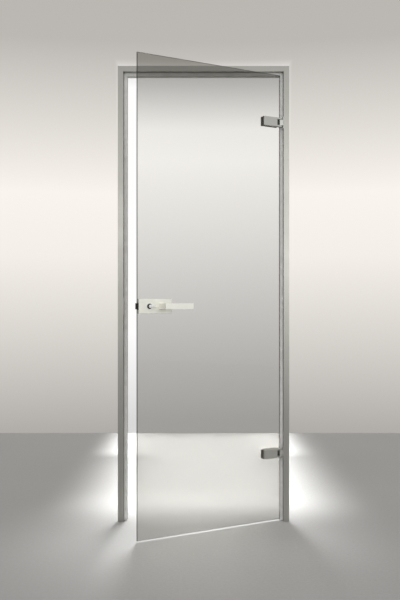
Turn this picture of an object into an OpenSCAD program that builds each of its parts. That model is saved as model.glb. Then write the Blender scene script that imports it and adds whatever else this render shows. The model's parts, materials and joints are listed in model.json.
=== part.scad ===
// Single-leaf glass door with its aluminium frame, hinges, latch lock and lever handles.
// X runs along the wall, Y goes into the wall and Z is up. The origin is on the floor, in the
// middle of the doorway, in the plane of the wall's surface.
// Depths marked "deep" are counted from the frame's front face. The hinge side is at +X.

/* [Leaf] */
// Width of the glass leaf
leaf_w = 700; // [580:10:1000]
// Height of the glass leaf
leaf_h = 2000; // [1650:10:2450]
// Thickness of the glass
glass_t = 8; // [6:1:12]
// Space between the leaf and the floor
floor_gap = 8; // [4:1:20]
// Ground arris on the edges of the glass
arris = 0.7; // [0.2:0.1:1.5]
// Angle by which the leaf stands open
open_angle = 28.3; // [5:0.1:75]

/* [Frame] */
// Visible width of the frame's face
face_w = 24.5; // [20:0.5:40]
// Depth of the whole frame
frame_d = 50; // [46:1:90]
// How far the stop reaches past the rebate
stop_w = 16.5; // [14:0.5:24]
// Thickness of the face flange
flange_t = 2.5; // [2:0.5:4]
// How far the flange covers the wall
wall_cover = 12; // [8:0.5:13]
// Wall thickness of the extrusion
wall_t = 2; // [1.5:0.1:2.5]
// Space between the leaf and the lock-side rebate
gap_lock = 9; // [6:0.5:10]
// Space between the leaf and the hinge-side rebate
gap_hinge = 12; // [11:0.5:16]
// Space between the leaf and the head rebate
gap_head = 14.5; // [6:0.5:15]
// Length of the arms of a corner cleat
cleat_arm = 70; // [55:1:110]
// Radius of the holes for the wall fixings
fixing_r = 2.75; // [2:0.25:4]
// Height of the end fixings from the floor and from the top
fixing_end = 150; // [100:5:200]
// Height of the inner fixings from the floor and from the top
fixing_inner = 620; // [500:5:760]

/* [Seal] */
// Space between the closed glass and the stop
seal_space = 2.5; // [1.8:0.1:4]
// Width of the seal groove
groove_w = 6; // [5:0.1:7]
// Depth of the seal groove
groove_d = 4; // [3:0.1:5]
// Distance of the groove from the rebate wall
groove_in = 5.5; // [4:0.5:6]
// Distance of the seal's lip from the rebate wall
lip_in = 2; // [1:0.5:6]

/* [Hinges] */
// Height of the lower hinge above the leaf's bottom edge
hinge_low = 300; // [150:5:500]
// Distance of the upper hinge below the leaf's top edge
hinge_high = 215; // [120:5:400]
// Height of a hinge
hinge_h = 41; // [36:1:60]
// Length of a hinge's front clamp from the pin
clamp_l = 93; // [84:1:130]
// Thickness of the hinge clamps and the lock case in front of the glass
front_t = 14; // [12:0.5:18]
// How far the front hardware sits behind the frame's face
front_set = 1; // [0.5:0.5:3]
// Thickness of the hinge's back clamp
back_t = 8; // [6:0.5:12]
// Distance of the pin from the rebate wall
pin_in = 13; // [12:0.5:16]
// Radius of the hinge pin
pin_r = 3; // [2.5:0.5:4]
// Height of the slot for the knuckle
slot_h = 26; // [20:1:30]
// Length of that slot from the pin
slot_l = 22; // [16:1:28]
// Height of the plate on the jamb
jamb_plate_h = 54; // [50:1:80]
// Thickness of the plate on the jamb
jamb_plate_t = 3; // [2:0.5:3.5]
// Radius of the clamp screws
clamp_screw_r = 3; // [2.5:0.5:4]

/* [Lock] */
// Length of the lock case
case_l = 150; // [148:1:190]
// Height of the lock case
case_h = 60; // [60:1:80]
// Height of the handle above the leaf's bottom edge
lock_high = 960; // [800:5:1150]
// Depth of the inner lock cover
cover_t = 9; // [8:0.5:14]
// How far the inner cover stays back from the leaf's free edge
cover_set = 11.5; // [11:0.5:16]
// Distance of the spindle from the leaf's free edge
spindle_in = 100; // [96:1:110]
// Side of the square spindle
spindle_w = 8; // [7:1:9]
// Distance of the turn from the leaf's free edge
turn_in = 48; // [46:1:50]
// Height of the latch
latch_h = 25; // [20:1:25]
// How far the latch stands out of the leaf
latch_out = 13; // [10:0.5:14]
// Radius of the lock screws
lock_screw_r = 2; // [1.5:0.25:2.25]

/* [Handles] */
// Length of the lever
lever_l = 128; // [90:1:160]
// Height of the lever
lever_h = 24; // [20:1:28]
// Thickness of the lever's bar
lever_t = 12; // [9:0.5:16]
// Width of the lever's neck
neck_w = 18; // [18:0.5:24]
// How far the lever stands out from its case
lever_out = 65; // [50:1:80]
// Angle by which the lever turns
lever_angle = 40; // [30:1:45]
// Length of the turn's bar from its axis
turn_l = 23; // [14:1:28]
// Height of the turn's bar
turn_h = 5.6; // [4:0.2:8]

/* [Clearances] */
// Radial clearance of the running fits
run_gap = 0.05; // [0.02:0.01:0.1]
// Clearance of the sliding pieces
slide_gap = 0.3; // [0.2:0.05:0.5]
// Clearance of the pieces set into a profile or a hole
seat_gap = 0.1; // [0.05:0.05:0.2]

/* [Hidden] */
$fn = 48;
cut = 1;

// Colours
alu = [0.70, 0.70, 0.67];
satin = [0.66, 0.66, 0.63];
cream = [0.87, 0.87, 0.81];
chrome = [0.82, 0.83, 0.84];
steel = [0.55, 0.55, 0.56];
black = [0.12, 0.12, 0.12];
seal_grey = [0.62, 0.62, 0.60];
nylon = [0.90, 0.90, 0.88];
glass_tint = [0.60, 0.60, 0.57, 0.45];

// Glass and rebate, derived
pad_t = 1;
pad_hole_gap = 0.4;
glass_0 = front_set + front_t + pad_t;
glass_1 = glass_0 + glass_t;
rebate_d = glass_1 + seal_space;

// Frame, derived
frame_w = leaf_w + gap_lock + gap_hinge + 2 * face_w;
frame_h = floor_gap + leaf_h + gap_head + face_w;
section_w = face_w + stop_w;
face_y = -flange_t;
rebate_x = frame_w / 2 - face_w;
chamber_0 = wall_cover + wall_t;
chamber_1 = face_w - wall_t;
groove_0 = face_w + groove_in;
groove_1 = groove_0 + groove_w;
cleat_0 = 10;
cleat_1 = 40;
cleat_screw = cleat_arm - 25;
cleat_screw_deep = 25;
cleat_screw_r = 2.5;
cleat_hole_r = cleat_screw_r + 0.2;
cleat_head_r = 4.5;
cleat_head_h = 2.4;
cleat_screw_in = chamber_1 - 0.5;
fixing_deep = 12;

// Seal, derived
seal_clear = 0.3;
lip_t = 0.9;
stem_t = 1.8;
foot_h = 1.5;
foot_gap = 0.3;
lip_0 = face_w + lip_in;
lip_1 = section_w - 0.6;

// Leaf, derived
leaf_x0 = -rebate_x + gap_lock;
leaf_x1 = rebate_x - gap_hinge;
leaf_top = floor_gap + leaf_h;
pin_x = rebate_x - pin_in;
pin_deep = front_set + front_t / 2;
pin_y = face_y + pin_deep;
hinge_z = [leaf_top - hinge_high, floor_gap + hinge_low];
lock_z = floor_gap + lock_high;
edge_break = 0.8;

// Hinge, derived
ear_r = front_t / 2;
knuckle_r = ear_r - 0.5;
washer_t = 0.45;
knuckle_h = slot_h - 2 * (washer_t + run_gap);
knuckle_web = knuckle_r - 0.5;
// The knuckle's flat front ends where it still clears the pad on the widest open leaf
wide_open = 105;
pad_clear = 0.5;
knuckle_flat = (ear_r - pad_clear + knuckle_r * cos(wide_open)) / sin(wide_open);
bush_r = pin_r + 1;
washer_r = knuckle_r - 0.5;
bush_l = knuckle_h / 2 - 1;
pin_l = hinge_h - 1;
clamp_end = -clamp_l;
back_end = leaf_x1 - 12 - pin_x;
clamp_screw_x = [-clamp_l + 18, -clamp_l + 48];
clamp_screw_deep = front_set + 4;
clamp_hole_r = clamp_screw_r + 5;
jamb_plate_0 = front_set + 1;
jamb_plate_1 = front_set + front_t + 6;
jamb_plate_x = pin_in - jamb_plate_t;
jamb_screw_r = 2.5;
jamb_hole_r = jamb_screw_r + 0.3;
jamb_screw_z = (slot_h + jamb_plate_h) / 4;
jamb_screw_deep = (jamb_plate_0 + jamb_plate_1) / 2;
backing_t = 6;
backing_0 = jamb_plate_0 + 2;
backing_1 = jamb_plate_1 - 1;

// Lock, derived
boss_r = 7;
case_0 = front_set;
case_1 = front_set + front_t;
case_wall = 2.5;
case_side = 2;
case_edge = 3;
plate_t = 1.5;
plate_0 = case_1 - plate_t;
cover_0 = glass_1 + pad_t;
cover_1 = cover_0 + cover_t;
case_mid = (case_0 + cover_1) / 2;
inside_0 = case_0 + case_wall + 0.7;
inside_1 = plate_0 - slide_gap;
layer_t = 3;
layer_0 = (inside_0 + inside_1) / 2 - layer_t / 2;
layer_1 = layer_0 + layer_t;
post_r = 4.5;
post_z = 20;
post_s = [26, case_l - 14];
lock_hole_r = 6;
lock_screw_deep = case_0 + 5;
bush_out = 10;
bush_flange_t = 0.5;
glass_bore_r = bush_out + 2;
turn_bore_r = boss_r + 1;
journal_r = spindle_w;
square_hole = spindle_w + 2 * run_gap;
follower_journal = 0.82 * spindle_w;
lever_gap = 0.5;
lever_root = case_0 - lever_gap;
square_depth = 32;
spindle_end = lever_root - square_depth + 2;
neck_chamfer = 3;
grub_r = 2;
grub_in = 12;
grub_sunk = 1;
grub_socket_r = 1.2;
grub_socket_d = 2;
rose_r = 11;
rose_t = 1.2;
rose_neck_r = rose_r - 2;
turn_journal = 6;
turn_square = 4;
turn_hole_half = turn_square / 2 + run_gap;
boss_out = 10;
bar_out = boss_out + 2;
bar_in = boss_r - 2;
snib_sleeve = 0.95 * turn_square;
snib_hub_r = turn_square + 2;
snib_tip_r = 2.5;
release_t = 3;
coin_l = 10;
coin_w = 1.6;
coin_d = 1.4;
hub_r = 9;
arm_r = latch_out / (2 * sin(lever_angle / 2));
arm_tip = 3;
arm_w = 4;
tip_gap = 0.35;
strap_0 = hub_r + 2;
strap_1 = min(arm_r + arm_tip + 4.5, case_h / 2 - case_side - 1);
riser = turn_in + 7;
tail_h = 20;
head_in = 16;
spring_z = -18;
spring_lug = turn_in + 5;
spring_tab = spindle_in - 17;
lug_half = 4;
lug_t = 3;
tab_t = 2;
tab_pin_r = 1.3;
tab_pin_l = 13;
riser_w = 7;
strap_bar = 3.2;
strap_end = spindle_in + 16;
mouth_bevel = 3;
latch_tip = 2.5;
snib_l = turn_in - head_in - latch_out - 1;
guide_t = 1.5;
guide_h = latch_h + 4;
strike_t = 1.6;
strike_gap = 1;
strike_shell = 0.6;
strike_h = latch_h + 50;
strike_screw_z = latch_h / 2 + 15;
strike_screw_r = 1.5;
strike_screw_l = strike_t + wall_t + 3;
strike_0 = inside_0 - strike_gap / 2;
strike_1 = inside_1 + strike_gap;
strike_mid = (strike_0 + strike_1) / 2;
strike_reach = latch_h / 2 + strike_gap;
strike_edge_0 = 1.5;
strike_edge_1 = 4;
strike_depth = latch_out - gap_lock + 2;

// ---------------------------------------------------------------- placing

// Puts what is drawn in the closed leaf at the angle at which the leaf stands open
module in_leaf() {
    translate([pin_x, pin_y, 0])
        rotate([0, 0, open_angle])
            translate([-pin_x, -pin_y, 0])
                children();
}

// Lock space: X from the leaf's free edge, Y deep, Z from the handle's height
module in_lock() {
    in_leaf()
        translate([leaf_x0, face_y, lock_z])
            children();
}

// Strike space: X from the lock-side rebate wall, Y deep, Z from the handle's height
module in_strike() {
    translate([-rebate_x, face_y, lock_z])
        children();
}

// Hinge space: X from the pin, Y deep, Z from the hinge's middle
module in_hinge(i) {
    translate([pin_x, face_y, hinge_z[i]])
        children();
}

// What stands on the front of the leaf, turned over to its back
module to_back() {
    translate([0, 2 * case_mid, 0])
        mirror([0, 1, 0])
            children();
}

// ---------------------------------------------------------------- shapes

// A block between two corners
module block(low, high) {
    translate(low)
        cube(high - low);
}

// A rod along Y
module rod_y(x, z, r, y0, y1) {
    translate([x, y1, z])
        rotate([90, 0, 0])
            cylinder(r = r, h = y1 - y0);
}

// A rod along X
module rod_x(y, z, r, x0, x1) {
    translate([x0, y, z])
        rotate([0, 90, 0])
            cylinder(r = r, h = x1 - x0);
}

// A flat shape drawn in X and Z, given a thickness along Y
module slab_y(y0, y1) {
    translate([0, y1, 0])
        rotate([90, 0, 0])
            linear_extrude(y1 - y0)
                children();
}

// A rectangle with its corners cut off
module cut_rect(low, high, c) {
    polygon([
        [low[0] + c, low[1]], [high[0] - c, low[1]], [high[0], low[1] + c],
        [high[0], high[1] - c], [high[0] - c, high[1]], [low[0] + c, high[1]],
        [low[0], high[1] - c], [low[0], low[1] + c]
    ]);
}

// A block with all its edges broken
module eased_block(low, high, c) {
    intersection() {
        translate([0, 0, low[2]])
            linear_extrude(high[2] - low[2])
                cut_rect([low[0], low[1]], [high[0], high[1]], c);
        translate([low[0], 0, 0])
            rotate([90, 0, 90])
                linear_extrude(high[0] - low[0])
                    cut_rect([low[1], low[2]], [high[1], high[2]], c);
        slab_y(low[1], high[1])
            cut_rect([low[0], low[2]], [high[0], high[2]], c);
    }
}

// A countersunk screw along Y, with its head's face at y = 0 and its point towards -Y
module sunk_screw(r, l) {
    rotate([90, 0, 0]) {
        cylinder(r1 = 2 * r, r2 = r, h = r);
        cylinder(r = r, h = l);
    }
}

// The socket for a driver in such a screw
module hex_socket(r) {
    translate([0, cut, 0])
        rotate([90, 0, 0])
            cylinder(r = r, h = cut + 0.8 * r, $fn = 6);
}

// Rings of points around a path, each ring upright to the path
function ring(p, side, up, r, n) =
    [for (j = [0 : n - 1]) p + r * (cos(360 * j / n) * side + sin(360 * j / n) * up)];
function unit(a) = a / norm(a);
function tangent(path, i) =
    unit(path[min(i + 1, len(path) - 1)] - path[max(i - 1, 0)]);

// A wire along a path that winds around Z
module wire(path, r, n = 8) {
    rings = [for (i = [0 : len(path) - 1])
        let (t = tangent(path, i), side = unit(cross(t, [0, 0, 1])), up = cross(side, t))
        ring(path[i], side, up, r, n)];
    points = [for (a = rings) for (p = a) p];
    last = (len(path) - 1) * n;
    sides = [for (i = [0 : len(path) - 2]) for (j = [0 : n - 1])
        let (k = (j + 1) % n)
        [i * n + j, i * n + k, (i + 1) * n + k, (i + 1) * n + j]];
    first_cap = [for (j = [0 : n - 1]) n - 1 - j];
    last_cap = [for (j = [0 : n - 1]) last + j];
    polyhedron(points, concat([first_cap], sides, [last_cap]));
}

function coil(r, h, turns, steps) =
    [for (i = [0 : turns * steps])
        [r * cos(360 * i / steps), r * sin(360 * i / steps), h * i / (turns * steps)]];

// ---------------------------------------------------------------- frame

// Section of the frame: X from its outer edge towards the doorway, Y deep
module frame_section() {
    difference() {
        polygon([
            [0, 0], [face_w, 0], [face_w, rebate_d], [groove_0, rebate_d],
            [groove_0, rebate_d + groove_d], [groove_1, rebate_d + groove_d],
            [groove_1, rebate_d], [section_w, rebate_d], [section_w, frame_d],
            [wall_cover, frame_d], [wall_cover, flange_t], [0, flange_t]
        ]);
        translate([chamber_0, flange_t])
            square([chamber_1 - chamber_0, frame_d - wall_t - flange_t]);
        translate([face_w, rebate_d + groove_d + wall_t])
            square([stop_w - wall_t, frame_d - rebate_d - groove_d - 2 * wall_t]);
    }
}

// Section of the seal: a foot in the groove, a stem and a lip that lies over the stop
module seal_section() {
    lip_y = glass_1 + seal_clear;
    foot_0 = groove_0 + seat_gap;
    foot_1 = groove_1 - seat_gap;
    foot_end = rebate_d + groove_d - foot_gap;
    polygon([
        [foot_0, foot_end], [foot_0, foot_end - foot_h], [foot_1 - stem_t, foot_end - foot_h],
        [foot_1 - stem_t, lip_y + lip_t], [lip_0, lip_y + lip_t], [lip_0, lip_y],
        [lip_1, lip_y], [lip_1, lip_y + lip_t], [foot_1, lip_y + lip_t], [foot_1, foot_end]
    ]);
}

// The half of a top corner that belongs to the head (1) or to the jamb (-1)
module mitre(side, part) {
    reach = section_w + cut;
    corner = part > 0
        ? [[-cut, -cut], [reach, -cut], [reach, reach]]
        : [[-cut, -cut], [-cut, reach], [reach, reach]];
    slab_y(face_y - cut, face_y + frame_d + cut)
        polygon([for (p = corner) [side * (frame_w / 2 - p[0]), frame_h - p[1]]]);
}

// An upright of the frame with the given section, mitred at the top
module upright(side) {
    difference() {
        linear_extrude(frame_h)
            translate([side * frame_w / 2, face_y])
                mirror([side > 0 ? 1 : 0, 0])
                    children();
        mitre(side, 1);
    }
}

// The top member with the given section, mitred at both ends
module top_member() {
    difference() {
        translate([-frame_w / 2, face_y, frame_h])
            rotate([0, 90, 0])
                linear_extrude(frame_w)
                    children();
        mitre(-1, -1);
        mitre(1, -1);
    }
}

// Holes through both walls of a jamb for the screws that hold it to the wall
module fixing_holes(side) {
    for (z = [fixing_end, fixing_inner, frame_h - fixing_inner, frame_h - fixing_end])
        translate([side * (rebate_x + face_w / 2), face_y + fixing_deep, z])
            rotate([0, 90, 0])
                cylinder(r = fixing_r, h = face_w, center = true);
}

// The screw that holds a cleat in a jamb, or the hole for it
module cleat_screw_in_jamb(side, r, head) {
    x0 = frame_w / 2 - cleat_screw_in;
    x1 = frame_w / 2 - wall_cover;
    mirror([side > 0 ? 0 : 1, 0, 0]) {
        rod_x(face_y + cleat_screw_deep, frame_h - cleat_screw, r, x0, x1);
        if (head)
            rod_x(face_y + cleat_screw_deep, frame_h - cleat_screw, cleat_head_r,
                x1, x1 + cleat_head_h);
    }
}

// The screw that holds a cleat in the head, or the hole for it
module cleat_screw_in_head(side, r, head) {
    x = side * (frame_w / 2 - cleat_screw);
    z0 = frame_h - cleat_screw_in;
    z1 = frame_h - wall_cover;
    translate([x, face_y + cleat_screw_deep, z0])
        cylinder(r = r, h = z1 - z0);
    if (head)
        translate([x, face_y + cleat_screw_deep, z1])
            cylinder(r = cleat_head_r, h = cleat_head_h);
}

module jamb_lock_side() {
    color(alu)
        difference() {
            upright(-1)
                frame_section();
            fixing_holes(-1);
            cleat_screw_in_jamb(-1, cleat_hole_r, false);
            in_strike() {
                strike_opening(-wall_t - cut, cut);
                for (i = [-1, 1])
                    rod_x(strike_mid, i * strike_screw_z, strike_screw_r, -wall_t - cut, cut);
            }
        }
}

module jamb_hinge_side() {
    color(alu)
        difference() {
            upright(1)
                frame_section();
            fixing_holes(1);
            cleat_screw_in_jamb(1, cleat_hole_r, false);
            for (h = [0, 1])
                in_hinge(h)
                    for (i = [-1, 1])
                        rod_x(jamb_screw_deep, i * jamb_screw_z, jamb_hole_r,
                            pin_in - cut, pin_in + wall_t + cut);
        }
}

module head_profile() {
    color(alu)
        difference() {
            top_member()
                frame_section();
            for (side = [-1, 1])
                cleat_screw_in_head(side, cleat_hole_r, false);
        }
}

// An L-shaped cleat that joins a jamb to the head inside their outer chambers
module corner_cleat(side) {
    a = chamber_0 + seat_gap;
    b = chamber_1 - seat_gap;
    outline = [[a, a], [cleat_arm, a], [cleat_arm, b], [b, b], [b, cleat_arm], [a, cleat_arm]];
    color(steel)
        difference() {
            slab_y(face_y + cleat_0, face_y + cleat_1)
                polygon([for (p = outline) [side * (frame_w / 2 - p[0]), frame_h - p[1]]]);
            cleat_screw_in_jamb(side, cleat_screw_r, false);
            cleat_screw_in_head(side, cleat_screw_r, false);
        }
}

module corner_cleat_lock_side() {
    corner_cleat(-1);
}

module corner_cleat_hinge_side() {
    corner_cleat(1);
}

module corner_screws() {
    color(steel)
        for (side = [-1, 1]) {
            cleat_screw_in_jamb(side, cleat_screw_r, true);
            cleat_screw_in_head(side, cleat_screw_r, true);
        }
}

module seal_lock_side() {
    color(seal_grey)
        upright(-1)
            seal_section();
}

module seal_hinge_side() {
    color(seal_grey)
        upright(1)
            seal_section();
}

module seal_head() {
    color(seal_grey)
        top_member()
            seal_section();
}

// ---------------------------------------------------------------- strike

// The window that the latch enters
module strike_opening(x0, x1) {
    block([x0, strike_0, -strike_reach], [x1, strike_1, strike_reach]);
}

module strike_plate() {
    color(satin)
        in_strike()
            difference() {
                block([0, strike_0 - strike_edge_0, -strike_h / 2],
                    [strike_t, strike_1 + strike_edge_1, strike_h / 2]);
                strike_opening(-cut, strike_t + cut);
                for (i = [-1, 1])
                    translate([strike_t, strike_mid, i * strike_screw_z])
                        rotate([0, 0, -90])
                            sunk_screw(strike_screw_r, 2 * strike_t);
            }
}

// A box behind the window that keeps the latch's space clear
module strike_box() {
    shell = strike_shell;
    color(black)
        in_strike()
            difference() {
                block([-strike_depth - shell, strike_0 - shell, -strike_reach - shell],
                    [-wall_t, strike_1 + shell, strike_reach + shell]);
                strike_opening(-strike_depth, cut);
            }
}

module strike_screws() {
    color(steel)
        in_strike()
            for (i = [-1, 1])
                translate([strike_t, strike_mid, i * strike_screw_z])
                    rotate([0, 0, -90])
                        difference() {
                            sunk_screw(strike_screw_r, strike_screw_l);
                            hex_socket(0.9 * strike_screw_r);
                        }
}

// ---------------------------------------------------------------- hinges

// The hinge's plate on the jamb, with the knuckle that the clamp turns on
module jamb_knuckle(i) {
    color(satin)
        in_hinge(i)
            difference() {
                union() {
                    block([jamb_plate_x, jamb_plate_0, -jamb_plate_h / 2],
                        [pin_in, jamb_plate_1, jamb_plate_h / 2]);
                    block([0, pin_deep - knuckle_r, -knuckle_h / 2],
                        [jamb_plate_x + cut, pin_deep + knuckle_web, knuckle_h / 2]);
                    block([-knuckle_flat, pin_deep - knuckle_r, -knuckle_h / 2],
                        [0, pin_deep, knuckle_h / 2]);
                    translate([0, pin_deep, -knuckle_h / 2])
                        cylinder(r = knuckle_r, h = knuckle_h);
                }
                translate([0, pin_deep, -knuckle_h / 2 - cut])
                    cylinder(r = bush_r, h = knuckle_h + 2 * cut);
                for (k = [-1, 1])
                    translate([jamb_plate_x, jamb_screw_deep, k * jamb_screw_z])
                        rotate([0, 0, 90])
                            sunk_screw(jamb_screw_r, 2 * jamb_plate_t);
            }
}

module jamb_knuckle_top() {
    jamb_knuckle(0);
}

module jamb_knuckle_bottom() {
    jamb_knuckle(1);
}

// A threaded plate inside the jamb that the plate's screws hold in
module jamb_backing(i) {
    color(steel)
        in_hinge(i)
            difference() {
                block([pin_in + wall_t, backing_0, -jamb_plate_h / 2],
                    [pin_in + wall_t + backing_t, backing_1, jamb_plate_h / 2]);
                for (k = [-1, 1])
                    rod_x(jamb_screw_deep, k * jamb_screw_z, jamb_screw_r,
                        pin_in + wall_t - cut, pin_in + wall_t + backing_t + cut);
            }
}

module jamb_backing_top() {
    jamb_backing(0);
}

module jamb_backing_bottom() {
    jamb_backing(1);
}

module jamb_knuckle_screws() {
    color(steel)
        for (h = [0, 1])
            in_hinge(h)
                for (k = [-1, 1])
                    translate([jamb_plate_x, jamb_screw_deep, k * jamb_screw_z])
                        rotate([0, 0, 90])
                            difference() {
                                sunk_screw(jamb_screw_r, jamb_plate_t + wall_t + backing_t);
                                hex_socket(jamb_screw_r);
                            }
}

// Flanged bushes, two in each knuckle
module pin_bushes() {
    color(nylon)
        for (h = [0, 1], end = [0, 1])
            in_hinge(h)
                translate([0, pin_deep, 0])
                    mirror([0, 0, end])
                        difference() {
                            union() {
                                translate([0, 0, knuckle_h / 2 - bush_l])
                                    cylinder(r = bush_r, h = bush_l);
                                translate([0, 0, knuckle_h / 2])
                                    cylinder(r = washer_r, h = washer_t);
                            }
                            cylinder(r = pin_r + run_gap, h = slot_h);
                        }
}

// The clamp in front of the glass, with two ears that hold the pin
module clamp_front(i) {
    color(satin)
        in_leaf()
            in_hinge(i)
                difference() {
                    union() {
                        eased_block([clamp_end, case_0, -hinge_h / 2], [0, case_1, hinge_h / 2],
                            edge_break);
                        translate([0, pin_deep, -hinge_h / 2])
                            cylinder(r = ear_r, h = hinge_h);
                        block([-ear_r, case_0, -hinge_h / 2], [0, case_1, hinge_h / 2]);
                    }
                    block([-slot_l, case_0 - cut, -slot_h / 2],
                        [ear_r + cut, case_1 + cut, slot_h / 2]);
                    translate([0, pin_deep, -hinge_h / 2 - cut])
                        cylinder(r = pin_r, h = hinge_h + 2 * cut);
                    for (x = clamp_screw_x)
                        rod_y(x, 0, clamp_screw_r, clamp_screw_deep, case_1 + cut);
                }
}

module clamp_front_top() {
    clamp_front(0);
}

module clamp_front_bottom() {
    clamp_front(1);
}

module clamp_back(i) {
    color(satin)
        in_leaf()
            in_hinge(i)
                difference() {
                    eased_block([clamp_end, cover_0, -hinge_h / 2],
                        [back_end, cover_0 + back_t, hinge_h / 2], edge_break);
                    for (x = clamp_screw_x) {
                        rod_y(x, 0, clamp_screw_r + seat_gap, cover_0 - cut, cover_0 + back_t);
                        translate([x, cover_0 + back_t, 0])
                            sunk_screw(clamp_screw_r, back_t);
                    }
                }
}

module clamp_back_top() {
    clamp_back(0);
}

module clamp_back_bottom() {
    clamp_back(1);
}

// Pads between the clamps and the glass
module clamp_pad(i, y0, x1) {
    color(black)
        in_leaf()
            in_hinge(i)
                difference() {
                    block([clamp_end + edge_break, y0, -hinge_h / 2 + edge_break],
                        [x1 - edge_break, y0 + pad_t, hinge_h / 2 - edge_break]);
                    for (x = clamp_screw_x)
                        rod_y(x, 0, clamp_screw_r + pad_hole_gap, y0 - cut, y0 + pad_t + cut);
                }
}

module clamp_pad_front_top() {
    clamp_pad(0, case_1, 0);
}

module clamp_pad_front_bottom() {
    clamp_pad(1, case_1, 0);
}

module clamp_pad_back_top() {
    clamp_pad(0, glass_1, back_end);
}

module clamp_pad_back_bottom() {
    clamp_pad(1, glass_1, back_end);
}

module hinge_pin(i) {
    color(chrome)
        in_leaf()
            in_hinge(i)
                translate([0, pin_deep, -pin_l / 2])
                    cylinder(r = pin_r, h = pin_l);
}

module hinge_pin_top() {
    hinge_pin(0);
}

module hinge_pin_bottom() {
    hinge_pin(1);
}

module clamp_screws() {
    color(steel)
        in_leaf()
            for (h = [0, 1])
                in_hinge(h)
                    for (x = clamp_screw_x)
                        translate([x, cover_0 + back_t, 0])
                            difference() {
                                sunk_screw(clamp_screw_r, cover_0 + back_t - clamp_screw_deep - 1);
                                hex_socket(clamp_screw_r);
                            }
}

// A sleeve that keeps a screw off the glass
module glass_sleeve(x, z, hole_r, screw_r) {
    difference() {
        rod_y(x, z, hole_r - seat_gap, glass_0, glass_1);
        rod_y(x, z, screw_r + pad_hole_gap, glass_0 - cut, glass_1 + cut);
    }
}

module clamp_sleeves() {
    color(nylon)
        in_leaf()
            for (h = [0, 1])
                in_hinge(h)
                    for (x = clamp_screw_x)
                        glass_sleeve(x, 0, clamp_hole_r, clamp_screw_r);
}

// ---------------------------------------------------------------- glass

module glass_leaf() {
    low = [leaf_x0, face_y + glass_0, floor_gap];
    high = [leaf_x1, face_y + glass_1, leaf_top];
    color(glass_tint)
        difference() {
            in_leaf()
                intersection() {
                    translate([0, 0, low[2]])
                        linear_extrude(leaf_h)
                            cut_rect([low[0], low[1]], [high[0], high[1]], arris);
                    translate([low[0], 0, 0])
                        rotate([90, 0, 90])
                            linear_extrude(leaf_w)
                                cut_rect([low[1], low[2]], [high[1], high[2]], arris);
                }
            in_leaf()
                for (h = [0, 1])
                    in_hinge(h)
                        for (x = clamp_screw_x)
                            rod_y(x, 0, clamp_hole_r, glass_0 - cut, glass_1 + cut);
            in_lock() {
                rod_y(spindle_in, 0, glass_bore_r, glass_0 - cut, glass_1 + cut);
                rod_y(turn_in, 0, turn_bore_r, glass_0 - cut, glass_1 + cut);
                for (s = post_s, k = [-1, 1])
                    rod_y(s, k * post_z, lock_hole_r, glass_0 - cut, glass_1 + cut);
            }
        }
}

// ---------------------------------------------------------------- lock

// The shell in front of the glass that holds the latch and its works
module lock_case() {
    half = case_h / 2;
    color(cream)
        in_lock()
            difference() {
                union() {
                    difference() {
                        eased_block([0, case_0, -half], [case_l, case_1, half], edge_break);
                        block([case_edge, case_0 + case_wall, -half + case_side],
                            [case_l - case_edge, case_1 + cut, half - case_side]);
                    }
                    for (s = post_s, k = [-1, 1])
                        rod_y(s, k * post_z, post_r, case_0 + case_wall / 2, plate_0);
                }
                for (s = post_s, k = [-1, 1])
                    rod_y(s, k * post_z, lock_screw_r, lock_screw_deep, plate_0 + cut);
                rod_y(spindle_in, 0, bush_out, case_0 - cut, case_0 + case_wall + cut);
                rod_y(turn_in, 0, rose_neck_r, case_0 - cut, case_0 + case_wall + cut);
                block([-cut, inside_0 - 1, -guide_h / 2], [guide_t, case_1 + cut, guide_h / 2]);
                block([0, inside_0 - slide_gap, -latch_h / 2 - slide_gap],
                    [case_edge + cut, plate_0, latch_h / 2 + slide_gap]);
            }
}

// The latch's black face on the case's edge
module latch_guide() {
    color(black)
        in_lock()
            difference() {
                block([0, inside_0 - 1, -guide_h / 2], [guide_t, case_1, guide_h / 2]);
                block([-cut, inside_0 - slide_gap, -latch_h / 2 - slide_gap],
                    [guide_t + cut, inside_1 + slide_gap, latch_h / 2 + slide_gap]);
            }
}

// The steel plate that closes the case and carries the works
module lock_plate() {
    half = case_h / 2 - case_side - seat_gap;
    color(steel)
        in_lock()
            difference() {
                union() {
                    block([case_edge + seat_gap, plate_0, -half],
                        [case_l - case_edge - seat_gap, case_1, half]);
                    block([spring_tab, inside_0 + 1, spring_z - lug_half],
                        [spring_tab + tab_t, plate_0 + cut, spring_z + lug_half]);
                    rod_x(layer_0 + layer_t / 2, spring_z, tab_pin_r,
                        spring_tab - tab_pin_l, spring_tab + cut);
                }
                rod_y(spindle_in, 0, follower_journal + run_gap, plate_0 - cut, case_1 + cut);
                rod_y(turn_in, 0, turn_square, plate_0 - cut, case_1 + cut);
                for (s = post_s, k = [-1, 1])
                    rod_y(s, k * post_z, lock_screw_r + seat_gap, plate_0 - cut, case_1 + cut);
            }
}

// The cover behind the glass
module lock_cover() {
    half = case_h / 2;
    color(cream)
        in_lock()
            difference() {
                union() {
                    difference() {
                        eased_block([cover_set, cover_0, -half], [case_l, cover_1, half],
                            edge_break);
                        block([cover_set + case_side, cover_0 - cut, -half + case_side],
                            [case_l - case_side, cover_1 - case_wall, half - case_side]);
                    }
                    for (s = post_s, k = [-1, 1])
                        rod_y(s, k * post_z, post_r, cover_0, cover_1 - case_wall / 2);
                }
                for (s = post_s, k = [-1, 1]) {
                    rod_y(s, k * post_z, lock_screw_r + seat_gap, cover_0 - cut, cover_1);
                    translate([s, cover_1, k * post_z])
                        sunk_screw(lock_screw_r, cover_t);
                }
                rod_y(spindle_in, 0, bush_out, cover_1 - case_wall - cut, cover_1 + cut);
                rod_y(turn_in, 0, rose_neck_r, cover_1 - case_wall - cut, cover_1 + cut);
            }
}

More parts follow.
